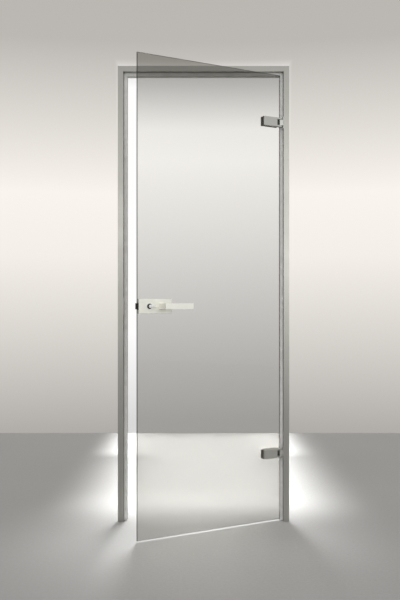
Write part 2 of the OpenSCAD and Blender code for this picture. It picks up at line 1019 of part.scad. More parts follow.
// A pad between the glass and the case or the cover
module lock_pad(y0, s0) {
    color(black)
        in_lock()
            difference() {
                block([s0 + edge_break, y0, -case_h / 2 + edge_break],
                    [case_l - edge_break, y0 + pad_t, case_h / 2 - edge_break]);
                rod_y(spindle_in, 0, glass_bore_r, y0 - cut, y0 + pad_t + cut);
                rod_y(turn_in, 0, turn_bore_r, y0 - cut, y0 + pad_t + cut);
                for (s = post_s, k = [-1, 1])
                    rod_y(s, k * post_z, lock_screw_r + pad_hole_gap, y0 - cut, y0 + pad_t + cut);
            }
}

module lock_pad_front() {
    lock_pad(case_1, 0);
}

module lock_pad_back() {
    lock_pad(glass_1, cover_set);
}

module lock_sleeves() {
    color(nylon)
        in_lock()
            for (s = post_s, k = [-1, 1])
                glass_sleeve(s, k * post_z, lock_hole_r, lock_screw_r);
}

module lock_screws() {
    color(steel)
        in_lock()
            for (s = post_s, k = [-1, 1])
                translate([s, cover_1, k * post_z])
                    difference() {
                        sunk_screw(lock_screw_r, cover_1 - lock_screw_deep - 1);
                        hex_socket(lock_screw_r);
                    }
}

// A flanged bush that the lever's neck turns in
module lever_bush() {
    difference() {
        union() {
            rod_y(spindle_in, 0, bush_out, case_0, case_0 + case_wall);
            rod_y(spindle_in, 0, bush_out + 1, case_0 + case_wall,
                case_0 + case_wall + bush_flange_t);
        }
        rod_y(spindle_in, 0, journal_r + run_gap, case_0 - cut, case_0 + case_wall + cut);
    }
}

module lever_bush_front() {
    color(nylon)
        in_lock()
            lever_bush();
}

module lever_bush_back() {
    color(nylon)
        in_lock()
            to_back()
                lever_bush();
}

// The dark ring around the turn
module turn_rose() {
    difference() {
        union() {
            rod_y(turn_in, 0, rose_r, case_0 - rose_t, case_0);
            rod_y(turn_in, 0, rose_neck_r, case_0, case_0 + case_wall);
        }
        rod_y(turn_in, 0, turn_journal + run_gap, case_0 - rose_t - cut, case_0 + case_wall + cut);
    }
}

module turn_rose_front() {
    color(black)
        in_lock()
            turn_rose();
}

module turn_rose_back() {
    color(black)
        in_lock()
            to_back()
                turn_rose();
}

// ---------------------------------------------------------------- handles

// A lever with a square neck and a bar that points towards the hinges
module lever() {
    s0 = spindle_in - neck_w / 2;
    tip = case_0 - lever_out;
    c = edge_break;
    difference() {
        union() {
            translate([0, 0, -lever_h / 2])
                linear_extrude(lever_h)
                    polygon([
                        [s0 + c, tip], [s0 + lever_l - c, tip], [s0 + lever_l, tip + c],
                        [s0 + lever_l, tip + lever_t - c], [s0 + lever_l - c, tip + lever_t],
                        [s0 + neck_w + neck_chamfer, tip + lever_t],
                        [s0 + neck_w, tip + lever_t + neck_chamfer],
                        [s0 + neck_w, lever_root], [s0, lever_root], [s0, tip + c]
                    ]);
            rod_y(spindle_in, 0, journal_r, lever_root - cut, case_0 + case_wall + bush_flange_t);
        }
        block([spindle_in - square_hole / 2, lever_root - square_depth, -square_hole / 2],
            [spindle_in + square_hole / 2, case_0 + case_wall + cut, square_hole / 2]);
        translate([spindle_in, lever_root - grub_in, -lever_h / 2 - cut])
            cylinder(r = grub_r, h = lever_h / 2 + cut);
    }
}

module lever_front() {
    color(cream)
        in_lock()
            lever();
}

module lever_back() {
    color(cream)
        in_lock()
            to_back()
                lever();
}

module spindle() {
    half = spindle_w / 2;
    color(steel)
        in_lock()
            block([spindle_in - half, spindle_end, -half],
                [spindle_in + half, 2 * case_mid - spindle_end, half]);
}

module lever_grub_screw() {
    translate([spindle_in, lever_root - grub_in, -lever_h / 2 + grub_sunk])
        difference() {
            cylinder(r = grub_r, h = lever_h / 2 - grub_sunk - spindle_w / 2);
            translate([0, 0, -cut])
                cylinder(r = grub_socket_r, h = cut + grub_socket_d, $fn = 6);
        }
}

module lever_grub_screws() {
    color(steel)
        in_lock() {
            lever_grub_screw();
            to_back()
                lever_grub_screw();
        }
}

// The hub that the spindle turns, with the arm that draws the latch back
module follower() {
    color(steel)
        in_lock()
            difference() {
                union() {
                    rod_y(spindle_in, 0, hub_r, inside_0 + seat_gap, inside_1);
                    rod_y(spindle_in, 0, follower_journal, inside_1 - cut, case_1);
                    translate([spindle_in, 0, 0])
                        rotate([0, -lever_angle / 2, 0]) {
                            block([-arm_w / 2, layer_0, 0], [arm_w / 2, layer_1, arm_r]);
                            rod_y(0, arm_r, arm_tip, layer_0, layer_1);
                        }
                }
                block([spindle_in - square_hole / 2, 0, -square_hole / 2],
                    [spindle_in + square_hole / 2, case_1 + cut, square_hole / 2]);
            }
}

// The coil around the hub that lifts the levers again
module lever_spring() {
    wire_r = 0.5;
    coil_r = hub_r + 1.4;
    depth = layer_0 - inside_0 - 2 * wire_r - 0.6;
    turns = coil(coil_r, depth, 1.75, 24);
    start = [for (i = [4 : -1 : 1]) [coil_r, -2.5 * i, 0]];
    end = [for (i = [1 : 3]) [2.5 * i, -coil_r, depth]];
    color(steel)
        in_lock()
            translate([spindle_in, inside_0 + wire_r + 0.3, 0])
                rotate([-90, 0, 0])
                    wire(concat(start, turns, end), wire_r);
}

// ---------------------------------------------------------------- latch

// The latch, its tail and the strap that the follower's arm draws
module latch_bolt() {
    tip_x = spindle_in - arm_r * sin(lever_angle / 2);
    tip_z = arm_r * cos(lever_angle / 2);
    half = arm_tip + tip_gap;
    mouth = half + mouth_bevel;
    throat = tip_z - 1;
    slot_r = snib_sleeve + slide_gap;
    color(black)
        in_lock()
            difference() {
                union() {
                    translate([0, 0, -latch_h / 2])
                        linear_extrude(latch_h)
                            polygon([
                                [-latch_out, inside_0], [head_in, inside_0], [head_in, inside_1],
                                [-latch_tip, inside_1], [-latch_out, inside_0 + latch_tip]
                            ]);
                    slab_y(layer_0, layer_1)
                        polygon([
                            [head_in - cut, -tail_h / 2], [spring_lug - lug_t, -tail_h / 2],
                            [spring_lug - lug_t, spring_z - lug_half],
                            [spring_lug, spring_z - lug_half],
                            [spring_lug, -tail_h / 2], [riser + riser_w, -tail_h / 2],
                            [riser + riser_w, strap_0], [tip_x - mouth, strap_0],
                            [tip_x - half, throat], [tip_x - half, strap_1 - strap_bar],
                            [tip_x + half, strap_1 - strap_bar], [tip_x + half, throat],
                            [tip_x + mouth, strap_0], [strap_end, strap_0],
                            [strap_end, strap_1], [riser, strap_1],
                            [riser, tail_h / 2], [head_in - cut, tail_h / 2]
                        ]);
                }
                rod_y(turn_in, 0, slot_r, layer_0 - cut, layer_1 + cut);
                rod_y(turn_in - latch_out, 0, slot_r, layer_0 - cut, layer_1 + cut);
                block([turn_in - latch_out, layer_0 - cut, -slot_r],
                    [turn_in, layer_1 + cut, slot_r]);
            }
}

// The spring that pushes the latch out
module latch_spring() {
    gap = 0.1;
    wire_r = 0.4;
    length = spring_tab - spring_lug - 2 * (gap + wire_r);
    color(steel)
        in_lock()
            translate([spring_lug + gap + wire_r, layer_0 + layer_t / 2, spring_z])
                rotate([0, 90, 0])
                    wire(coil(2.3, length, 8, 16), wire_r);
}

// ---------------------------------------------------------------- turn

// The knob with its bar, on the front
module turn_knob() {
    boss_0 = case_0 - rose_t - slide_gap;
    tip = case_0 - bar_out;
    color(chrome)
        in_lock()
            difference() {
                union() {
                    rod_y(turn_in, 0, turn_journal, boss_0 - cut, case_0 + case_wall + 0.3);
                    rod_y(turn_in, 0, boss_r, case_0 - boss_out, boss_0);
                    eased_block([turn_in - bar_in, tip, -turn_h / 2],
                        [turn_in + turn_l, tip + turn_h, turn_h / 2], edge_break / 2);
                }
                turn_hole(boss_0 - 4);
            }
}

// The square hole for the turn's spindle, open towards the back
module turn_hole(y0) {
    half = turn_hole_half;
    block([turn_in - half, y0, -half], [turn_in + half, 2 * case_mid - y0, half]);
}

module turn_spindle() {
    reach = case_0 - rose_t - slide_gap - 3.5;
    half = turn_square / 2;
    color(steel)
        in_lock()
            block([turn_in - half, reach, -half], [turn_in + half, cover_1 + 1.5, half]);
}

// The cam on the turn's spindle that swings behind the latch
module turn_snib() {
    y0 = layer_1 + slide_gap;
    color(steel)
        in_lock()
            difference() {
                union() {
                    rod_y(turn_in, 0, snib_sleeve, inside_0 + seat_gap, layer_1 + cut);
                    rod_y(turn_in, 0, snib_hub_r, y0, inside_1);
                    block([turn_in - snib_tip_r, y0, 0],
                        [turn_in + snib_tip_r, inside_1, snib_l - snib_tip_r]);
                    rod_y(turn_in, snib_l - snib_tip_r, snib_tip_r, y0, inside_1);
                }
                turn_hole(0);
            }
}

// The release on the back, with a slot for a coin
module turn_release() {
    boss_1 = cover_1 + rose_t + slide_gap;
    half = turn_hole_half;
    color(chrome)
        in_lock()
            difference() {
                union() {
                    rod_y(turn_in, 0, turn_journal, cover_1 - case_wall - 0.3, boss_1 + cut);
                    rod_y(turn_in, 0, boss_r, boss_1, boss_1 + release_t);
                }
                block([turn_in - coin_l / 2, boss_1 + release_t - coin_d, -coin_w / 2],
                    [turn_in + coin_l / 2, boss_1 + release_t + cut, coin_w / 2]);
                block([turn_in - half, 0, -half], [turn_in + half, cover_1 + rose_t + 0.4, half]);
            }
}

// ---------------------------------------------------------------- nodes

jamb_lock_side();
jamb_hinge_side();
head_profile();
corner_cleat_lock_side();
corner_cleat_hinge_side();
corner_screws();
seal_lock_side();
seal_hinge_side();
seal_head();
strike_plate();
strike_box();
strike_screws();
jamb_knuckle_top();
jamb_knuckle_bottom();
jamb_backing_top();
jamb_backing_bottom();
jamb_knuckle_screws();
pin_bushes();
glass_leaf();
clamp_front_top();
clamp_front_bottom();
clamp_back_top();
clamp_back_bottom();
clamp_pad_front_top();
clamp_pad_front_bottom();
clamp_pad_back_top();
clamp_pad_back_bottom();
hinge_pin_top();
hinge_pin_bottom();
clamp_screws();
clamp_sleeves();
lock_case();
lock_plate();
lock_cover();
lock_pad_front();
lock_pad_back();
lock_sleeves();
lock_screws();
latch_guide();
lever_bush_front();
lever_bush_back();
turn_rose_front();
turn_rose_back();
lever_front();
lever_back();
spindle();
follower();
lever_grub_screws();
lever_spring();
latch_bolt();
latch_spring();
turn_knob();
turn_spindle();
turn_snib();
turn_release();
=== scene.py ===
"""Looks of a glass door with its aluminium frame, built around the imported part."""

import json
import math

import bmesh
import bpy
from bpy.props import FloatProperty, FloatVectorProperty, IntProperty, PointerProperty
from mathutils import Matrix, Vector


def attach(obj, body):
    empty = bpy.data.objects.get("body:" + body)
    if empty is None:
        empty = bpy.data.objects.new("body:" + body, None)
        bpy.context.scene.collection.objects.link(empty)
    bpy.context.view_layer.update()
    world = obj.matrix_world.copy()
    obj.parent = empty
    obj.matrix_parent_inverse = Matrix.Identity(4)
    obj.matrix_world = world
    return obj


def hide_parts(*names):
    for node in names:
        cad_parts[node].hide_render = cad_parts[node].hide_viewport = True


bl_info = {
    "name": "Glass Door Finishes",
    "version": (1, 0, 0),
    "blender": (4, 5, 0),
    "location": "View3D > Sidebar > Door",
    "description": "Finishes the pieces of a glass door and sets its stage",
    "category": "Object",
}

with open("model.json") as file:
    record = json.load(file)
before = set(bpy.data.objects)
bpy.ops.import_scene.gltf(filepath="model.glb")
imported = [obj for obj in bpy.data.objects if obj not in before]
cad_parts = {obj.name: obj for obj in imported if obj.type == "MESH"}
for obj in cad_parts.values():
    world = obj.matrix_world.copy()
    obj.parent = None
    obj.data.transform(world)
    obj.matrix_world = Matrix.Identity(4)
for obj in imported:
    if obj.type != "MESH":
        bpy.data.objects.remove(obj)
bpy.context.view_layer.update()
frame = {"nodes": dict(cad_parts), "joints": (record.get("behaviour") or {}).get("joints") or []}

NODES = frame["nodes"]
JOINTS = {joint["name"]: joint for joint in frame["joints"]}
LEAF_ALONG = Vector(JOINTS["latch_slide"]["axis"])
LEAF_ANGLE = math.atan2(LEAF_ALONG.y, LEAF_ALONG.x)
LEAF_TURN = (0.0, 0.0, -LEAF_ANGLE)
NO_TURN = (0.0, 0.0, 0.0)
UP = Vector((0.0, 0.0, 1.0))
HINGE_ENDS = ("top", "bottom")

# Distances and the angle below which corners and faces count as one
SAME_POINT = 0.000002
SAME_PLANE = 0.00001
FLAT_ANGLE = math.radians(0.2)

# Edges sharper than this angle are rounded
EDGE_ANGLE = math.radians(28)
BEVEL_PROFILE = 0.5

# Colours that aren't settings
MILL_COLOUR = (0.60, 0.60, 0.60)
NYLON_COLOUR = (0.78, 0.77, 0.73)
HINGE_PAD_COLOUR = (0.13, 0.13, 0.125)
LOCK_PAD_COLOUR = (0.03, 0.03, 0.03)
PIN_COLOUR = (0.62, 0.62, 0.63)
CHROME_COLOUR = (0.80, 0.81, 0.82)
LAMPS_THROUGH_GLASS = (0.70, 0.69, 0.67)
CLEAR = (1.0, 1.0, 1.0)

# Stretches of the grain, low along it: on the jambs, the head, the pads and the seals
GRAIN_UPRIGHT = (900.0, 900.0, 5.0)
GRAIN_LEVEL = (5.0, 900.0, 900.0)
PAD_LINES = (300.0, 300.0, 300.0)
SEAL_LINES_UPRIGHT = (700.0, 700.0, 9.0)
SEAL_LINES_LEVEL = (9.0, 700.0, 700.0)

# Lowest and highest roughness
NYLON_ROUGH = (0.35, 0.5)
BRIGHT_ROUGH = (0.05, 0.12)

GLASS_IOR = 1.52

# How far a cover's outline on the glass is drawn in
COVER_INSET = 0.002

# Painted light: the levers are given the case's colour made a little lighter, for the extra light that
# reaches them where they stand out from the case
LEVER_PAINTED_LIGHT = 1.06

# ---------------------------------------------------------------- settings


class DoorFinish(bpy.types.PropertyGroup):
    """Colours of the finishes."""

    frame_colour: FloatVectorProperty(
        name="Frame", description="Satin aluminium of the frame",
        subtype="COLOR", size=3, min=0, max=1, default=(0.43, 0.427, 0.394))
    hinge_colour: FloatVectorProperty(
        name="Hinges", description="Satin metal of the clamp hinges and the strike",
        subtype="COLOR", size=3, min=0, max=1, default=(0.53, 0.53, 0.497))
    handle_colour: FloatVectorProperty(
        name="Handles", description="Pale satin metal of the lock case and the levers",
        subtype="COLOR", size=3, min=0, max=1, default=(0.91, 0.905, 0.825))
    steel_colour: FloatVectorProperty(
        name="Steel", description="Bright zinc of the screws and the works",
        subtype="COLOR", size=3, min=0, max=1, default=(0.50, 0.51, 0.53))
    black_colour: FloatVectorProperty(
        name="Black parts", description="Black of the latch, its guide and the turn's ring",
        subtype="COLOR", size=3, min=0, max=1, default=(0.022, 0.021, 0.020))
    seal_colour: FloatVectorProperty(
        name="Seal", description="Pale rubber of the seals",
        subtype="COLOR", size=3, min=0, max=1, default=(0.94, 0.94, 0.92))
    glass_tint: FloatVectorProperty(
        name="Glass tint", description="Colour that the glass lets through best",
        subtype="COLOR", size=3, min=0, max=1, default=(0.60, 0.59, 0.565))
    # Painted shade: the ground edges are coloured near black for the darkness that the tinted glass
    # shows along its edges
    edge_painted_shade: FloatVectorProperty(
        name="Glass edge", description="Colour of the ground edges of the glass",
        subtype="COLOR", size=3, min=0, max=1, default=(0.02, 0.022, 0.018))
    glass_density: FloatProperty(
        name="Glass density", description="How strongly the glass takes light away",
        min=0, max=600, default=195)


class DoorEdges(bpy.types.PropertyGroup):
    """Roundings of the edges."""

    profile: FloatProperty(
        name="Profiles", description="Rounding of the frame's edges",
        subtype="DISTANCE", unit="LENGTH", min=0, max=0.001, default=0.0003)
    casting: FloatProperty(
        name="Castings", description="Rounding of the clamps, the case and the levers",
        subtype="DISTANCE", unit="LENGTH", min=0, max=0.001, default=0.00035)
    small: FloatProperty(
        name="Small pieces", description="Rounding of the screws and the works",
        subtype="DISTANCE", unit="LENGTH", min=0, max=0.0005, default=0.00012)
    turn: FloatProperty(
        name="Turn", description="Rounding of the turn's knob, release and rings",
        subtype="DISTANCE", unit="LENGTH", min=0, max=0.0005, default=0.00024)
    seal: FloatProperty(
        name="Seals", description="Rounding of the seals' lips",
        subtype="DISTANCE", unit="LENGTH", min=0, max=0.0005, default=0.00025)
    steps: IntProperty(
        name="Steps", description="Steps in a rounding", min=1, max=4, default=2)


class DoorStage(bpy.types.PropertyGroup):
    """Floor, light and camera."""

    floor_colour: FloatVectorProperty(
        name="Floor", description="Pale floor",
        subtype="COLOR", size=3, min=0, max=1, default=(0.31, 0.31, 0.305))
    side_power: FloatProperty(
        name="Side lights", description="Power of the two soft lights in front",
        subtype="POWER", unit="POWER", min=0, max=200, default=3.6)
    back_power: FloatProperty(
        name="Back light", description="Power of the soft light over the floor behind",
        subtype="POWER", unit="POWER", min=0, max=500, default=32)
    door_power: FloatProperty(
        name="Doorway light", description="Power of the soft light that shines out of the doorway",
        subtype="POWER", unit="POWER", min=0, max=500, default=4)
    eye_height: FloatProperty(
        name="Eye height", description="Height of the camera",
        subtype="DISTANCE", unit="LENGTH", min=0, max=3, default=0.9784)
    eye_distance: FloatProperty(
        name="Distance", description="Distance of the camera from the frame's front",
        subtype="DISTANCE", unit="LENGTH", min=1, max=10, default=3.4735)


# ---------------------------------------------------------------- shader nodes


class Material:
    """A node material that is built step by step around one Principled shader."""

    def __init__(self, name, colour, metallic, roughness):
        self.data = bpy.data.materials.new(name)
        self.data.use_nodes = True
        self.tree = self.data.node_tree
        self.tree.nodes.clear()
        self.output = self.tree.nodes.new("ShaderNodeOutputMaterial")
        self.shader = self.tree.nodes.new("ShaderNodeBsdfPrincipled")
        self.link(self.shader, "BSDF", self.output, "Surface")
        self.set("Base Color", (*colour, 1))
        self.set("Metallic", metallic)
        self.set("Roughness", roughness)
        self.data.diffuse_color = (*colour, 1)

    def set(self, socket, value):
        """A constant on one of the shader's own sockets."""
        self.shader.inputs[socket].default_value = value

    def link(self, source, output, target, socket):
        self.tree.links.new(source.outputs[output], target.inputs[socket])

    def coordinates(self, scale, turn=NO_TURN):
        """Object coordinates, turned and then stretched."""
        place = self.tree.nodes.new("ShaderNodeTexCoord")
        turned = self.tree.nodes.new("ShaderNodeMapping")
        turned.inputs["Rotation"].default_value = turn
        stretched = self.tree.nodes.new("ShaderNodeMapping")
        stretched.inputs["Scale"].default_value = scale
        self.link(place, "Object", turned, "Vector")
        self.link(turned, "Vector", stretched, "Vector")
        return stretched

    def noise(self, scale, turn=NO_TURN, detail=3.0):
        """Noise whose scale may differ along each axis."""
        node = self.tree.nodes.new("ShaderNodeTexNoise")
        node.inputs["Scale"].default_value = 1.0
        node.inputs["Detail"].default_value = detail
        node.inputs["Roughness"].default_value = 0.55
        self.link(self.coordinates(scale, turn), "Vector", node, "Vector")
        return node

    def spread(self, noise, low, high):
        """The noise's middle range spread between two values."""
        node = self.tree.nodes.new("ShaderNodeMapRange")
        node.inputs["From Min"].default_value = 0.3
        node.inputs["From Max"].default_value = 0.7
        node.inputs["To Min"].default_value = low
        node.inputs["To Max"].default_value = high
        self.link(noise, "Fac", node, "Value")
        return node

    def colours(self, noise, stops):
        """A ramp of colours over the noise, to the base colour."""
        node = self.tree.nodes.new("ShaderNodeValToRGB")
        elements = node.color_ramp.elements
        for element, (position, colour) in zip(elements, (stops[0], stops[-1])):
            element.position = position
            element.color = (*colour, 1)
        for position, colour in stops[1:-1]:
            elements.new(position).color = (*colour, 1)
        self.link(noise, "Fac", node, "Fac")
        self.link(node, "Color", self.shader, "Base Color")
        return node

    def rough(self, noise, low, high):
        """Roughness that follows a noise between two values."""
        self.link(self.spread(noise, low, high), "Result", self.shader, "Roughness")

    def relief(self, layers):
        """Bump nodes in a row, each (noise, strength, depth in metres)."""
        last = None
        for noise, strength, depth in layers:
            node = self.tree.nodes.new("ShaderNodeBump")
            node.inputs["Strength"].default_value = strength
            node.inputs["Distance"].default_value = depth
            self.link(noise, "Fac", node, "Height")
            if last is not None:
                self.link(last, "Normal", node, "Normal")
            last = node
        self.link(last, "Normal", self.shader, "Normal")


def shade(colour, share):
    """A colour made darker or lighter."""
    return tuple(min(1.0, channel * share) for channel in colour)


def brushed_metal(name, colour, scale, turn=NO_TURN, rough=(0.36, 0.44), depth=0.00002):
    """Satin metal with a fine grain; scale is low along the grain."""
    made = Material(name, colour, 1.0, sum(rough) / 2)
    grain = made.noise(scale, turn, detail=5.0)
    cloud = made.noise((4.0, 4.0, 4.0), turn, detail=2.0)
    made.colours(grain, [
        (0.30, shade(colour, 0.95)), (0.50, colour), (0.70, shade(colour, 1.04))])
    made.rough(cloud, *rough)
    made.relief([(grain, 0.2, depth)])
    return made.data


def satin_casting(name, colour, turn=NO_TURN):
    """Pale satin metal, bead-blasted and lacquered."""
    made = Material(name, colour, 0.45, 0.4)
    fine = made.noise((2600.0, 2600.0, 2600.0), turn, detail=2.0)
    cloud = made.noise((22.0, 22.0, 22.0), turn, detail=3.0)
    made.colours(cloud, [
        (0.25, shade(colour, 0.975)), (0.50, colour), (0.75, shade(colour, 1.015))])
    made.rough(cloud, 0.36, 0.44)
    made.relief([(fine, 0.15, 0.00001)])
    made.set("Coat Weight", 0.15)
    made.set("Coat Roughness", 0.25)
    return made.data


def polished_metal(name, colour):
    """Bright plating with faint wiping marks."""
    made = Material(name, colour, 1.0, sum(BRIGHT_ROUGH) / 2)
    wipe = made.noise((60.0, 420.0, 60.0), LEAF_TURN, detail=4.0)
    cloud = made.noise((30.0, 30.0, 30.0))
    made.colours(cloud, [(0.3, shade(colour, 0.97)), (0.7, shade(colour, 1.02))])
    made.rough(wipe, *BRIGHT_ROUGH)
    made.relief([(wipe, 0.06, 0.00002)])
    return made.data


def zinc_steel(name, colour):
    """Zinc-plated steel with a faint mottle."""
    made = Material(name, colour, 1.0, 0.34)
    mottle = made.noise((380.0, 380.0, 380.0), detail=5.0)
    cloud = made.noise((45.0, 45.0, 45.0))
    made.colours(mottle, [
        (0.3, shade(colour, 0.86)), (0.5, colour), (0.72, shade(colour, 1.12))])
    made.rough(cloud, 0.26, 0.42)
    made.relief([(mottle, 0.12, 0.00003)])
    return made.data


def moulded(name, colour, rough=(0.42, 0.55)):
    """Moulded plastic with a fine spark-eroded texture."""
    made = Material(name, colour, 0.0, sum(rough) / 2)
    spark = made.noise((1500.0, 1500.0, 1500.0), detail=2.0)
    cloud = made.noise((60.0, 60.0, 60.0))
    made.colours(cloud, [(0.3, shade(colour, 0.9)), (0.7, shade(colour, 1.1))])
    made.rough(cloud, *rough)
    made.relief([(spark, 0.2, 0.00003)])
    return made.data


def rubber(name, colour, along):
    """Extruded rubber: lines along its length and a dusty bloom."""
    made = Material(name, colour, 0.0, 0.7)
    lines = made.noise(along, detail=3.0)
    dust = made.noise((35.0, 35.0, 35.0), detail=4.0)
    made.colours(dust, [
        (0.32, shade(colour, 0.88)), (0.55, colour), (0.78, shade(colour, 1.1))])
    made.rough(dust, 0.62, 0.8)
    made.relief([(lines, 0.2, 0.00005), (dust, 0.08, 0.0001)])
    made.set("Specular IOR Level", 0.3)
    return made.data


def glass(name, colour, finish, rough):
    """Toned safety glass: lamps shine through it, and its mass takes light away."""
    made = Material(name, colour, 0.0, rough)
    made.set("Transmission Weight", 1.0)
    made.set("IOR", GLASS_IOR)
    nodes = made.tree.nodes
    path = nodes.new("ShaderNodeLightPath")
    open_to_lamps = nodes.new("ShaderNodeBsdfTransparent")
    mixed = nodes.new("ShaderNodeMixShader")
    made.link(path, "Is Shadow Ray", mixed, "Fac")
    open_to_lamps.inputs["Color"].default_value = (*LAMPS_THROUGH_GLASS, 1)
    made.tree.links.new(made.shader.outputs["BSDF"], mixed.inputs[1])
    made.tree.links.new(open_to_lamps.outputs["BSDF"], mixed.inputs[2])
    made.link(mixed, "Shader", made.output, "Surface")
    mass = nodes.new("ShaderNodeVolumeAbsorption")
    mass.inputs["Color"].default_value = (*finish.glass_tint, 1)
    mass.inputs["Density"].default_value = finish.glass_density
    made.link(mass, "Volume", made.output, "Volume")
    return made.data


# ---------------------------------------------------------------- shapes


def give(names, material):
    """Gives CAD nodes one material."""
    for name in names:
        slots = NODES[name].data.materials
        slots.clear()
        slots.append(material)


def soften(names, width, steps):
    """Rounds the edges of CAD nodes with modifiers, once their flat triangles are joined."""
    for name in names:
        node = NODES[name]
        weld = node.modifiers.new("Weld", "WELD")
        weld.merge_threshold = SAME_POINT
        flats = node.modifiers.new("Flats", "DECIMATE")
        flats.decimate_type = "DISSOLVE"
        flats.angle_limit = FLAT_ANGLE
        edges = node.modifiers.new("Edges", "BEVEL")
        edges.limit_method = "ANGLE"
        edges.angle_limit = EDGE_ANGLE
        edges.width = width
        edges.segments = steps
        edges.profile = BEVEL_PROFILE
        edges.use_clamp_overlap = False
        edges.loop_slide = False
        for face in node.data.polygons:
            face.use_smooth = True
        normals = node.modifiers.new("Normals", "WEIGHTED_NORMAL")
        normals.weight = 100
        normals.keep_sharp = True


def finish_nodes(names, material, width, steps):
    """Gives CAD nodes a material and rounded edges."""
    give(names, material)
    soften(names, width, steps)


def merged_copy(name):
    """A bmesh of a CAD node with its loose triangles merged."""
    shape = bmesh.new()
    shape.from_mesh(NODES[name].data)
    bmesh.ops.remove_doubles(shape, verts=shape.verts[:], dist=SAME_POINT)
    bmesh.ops.recalc_face_normals(shape, faces=shape.faces[:])
    return shape


def new_piece(name, shape, body, replaced, materials):
    """Makes an object of a bmesh that rides on a body and stands for CAD nodes."""
    mesh = bpy.data.meshes.new(name)
    shape.to_mesh(mesh)
    shape.free()
    piece = bpy.data.objects.new(name, mesh)
    bpy.context.scene.collection.objects.link(piece)
    for material in materials:
        mesh.materials.append(material)
    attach(piece, body)
    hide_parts(*replaced)
    return piece


# ---------------------------------------------------------------- operators


class DOOR_OT_frame_profiles(bpy.types.Operator):
    """Finish the jambs and the head in brushed aluminium"""

    bl_idname = "door.frame_profiles"
    bl_label = "Frame profiles"

    def execute(self, context):
        scene = context.scene
        colour = scene.door_finish.frame_colour
        upright = brushed_metal("frame_brushed_upright", colour, GRAIN_UPRIGHT)
        level = brushed_metal("frame_brushed_level", colour, GRAIN_LEVEL)
        width, steps = scene.door_edges.profile, scene.door_edges.steps
        finish_nodes(["jamb_lock_side", "jamb_hinge_side"], upright, width, steps)
        finish_nodes(["head_profile"], level, width, steps)
        return {"FINISHED"}


class DOOR_OT_corner_joints(bpy.types.Operator):
    """Finish the cleats and the screws of the mitred corners"""

    bl_idname = "door.corner_joints"
    bl_label = "Corner joints"

    def execute(self, context):
        scene = context.scene
        mill = brushed_metal(
            "cleat_mill", MILL_COLOUR, (500.0, 8.0, 500.0), rough=(0.3, 0.5))
        zinc = zinc_steel("zinc_screws", scene.door_finish.steel_colour)
        edges = scene.door_edges
        finish_nodes(
            ["corner_cleat_lock_side", "corner_cleat_hinge_side"], mill, edges.small, 1)
        finish_nodes(
            ["corner_screws", "strike_screws", "jamb_knuckle_screws", "clamp_screws",
             "lock_screws", "lever_grub_screws"], zinc, edges.small, 1)
        return {"FINISHED"}


class DOOR_OT_seals(bpy.types.Operator):
    """Finish the seals of the jambs and the head"""

    bl_idname = "door.seals"
    bl_label = "Seals"

    def execute(self, context):
        scene = context.scene
        colour, width = scene.door_finish.seal_colour, scene.door_edges.seal
        upright = rubber("seal_rubber_upright", colour, SEAL_LINES_UPRIGHT)
        level = rubber("seal_rubber_level", colour, SEAL_LINES_LEVEL)
        finish_nodes(["seal_lock_side", "seal_hinge_side"], upright, width, 2)
        finish_nodes(["seal_head"], level, width, 2)
        return {"FINISHED"}


class DOOR_OT_strike(bpy.types.Operator):
    """Finish the strike plate and the box behind it"""

    bl_idname = "door.strike"
    bl_label = "Strike"

    def execute(self, context):
        scene = context.scene
        plate = brushed_metal(
            "strike_satin", scene.door_finish.hinge_colour, (1200.0, 1200.0, 12.0))
        shell = moulded("strike_black", scene.door_finish.black_colour)
        finish_nodes(["strike_plate"], plate, scene.door_edges.small, 2)
        finish_nodes(["strike_box"], shell, scene.door_edges.small, 1)
        return {"FINISHED"}


class DOOR_OT_hinges(bpy.types.Operator):
    """Finish the knuckles on the jamb, the clamps on the glass, and their pins and pads"""

    bl_idname = "door.hinges"
    bl_label = "Hinges"

    def execute(self, context):
        scene = context.scene
        finish, edges = scene.door_finish, scene.door_edges
        fixed = brushed_metal(
            "hinge_satin_jamb", finish.hinge_colour, (1100.0, 1100.0, 14.0))
        moving = brushed_metal(
            "hinge_satin_leaf", finish.hinge_colour, (14.0, 1100.0, 1100.0), LEAF_TURN)
        steel = zinc_steel("zinc_backing", finish.steel_colour)
        pin = polished_metal("pin_bright", PIN_COLOUR)
        pad = rubber("pad_rubber_hinge", HINGE_PAD_COLOUR, PAD_LINES)
        nylon = moulded("nylon_hinge", NYLON_COLOUR, NYLON_ROUGH)
        finish_nodes([f"jamb_knuckle_{end}" for end in HINGE_ENDS], fixed, edges.casting, edges.steps)
        finish_nodes([f"jamb_backing_{end}" for end in HINGE_ENDS], steel, edges.small, 1)
        for side in ("front", "back"):
            finish_nodes(
                [f"clamp_{side}_{end}" for end in HINGE_ENDS], moving, edges.casting, edges.steps)
            finish_nodes([f"clamp_pad_{side}_{end}" for end in HINGE_ENDS], pad, edges.small, 1)
        finish_nodes([f"hinge_pin_{end}" for end in HINGE_ENDS], pin, edges.small, edges.steps)
        finish_nodes(["pin_bushes", "clamp_sleeves"], nylon, edges.small, 1)
        return {"FINISHED"}


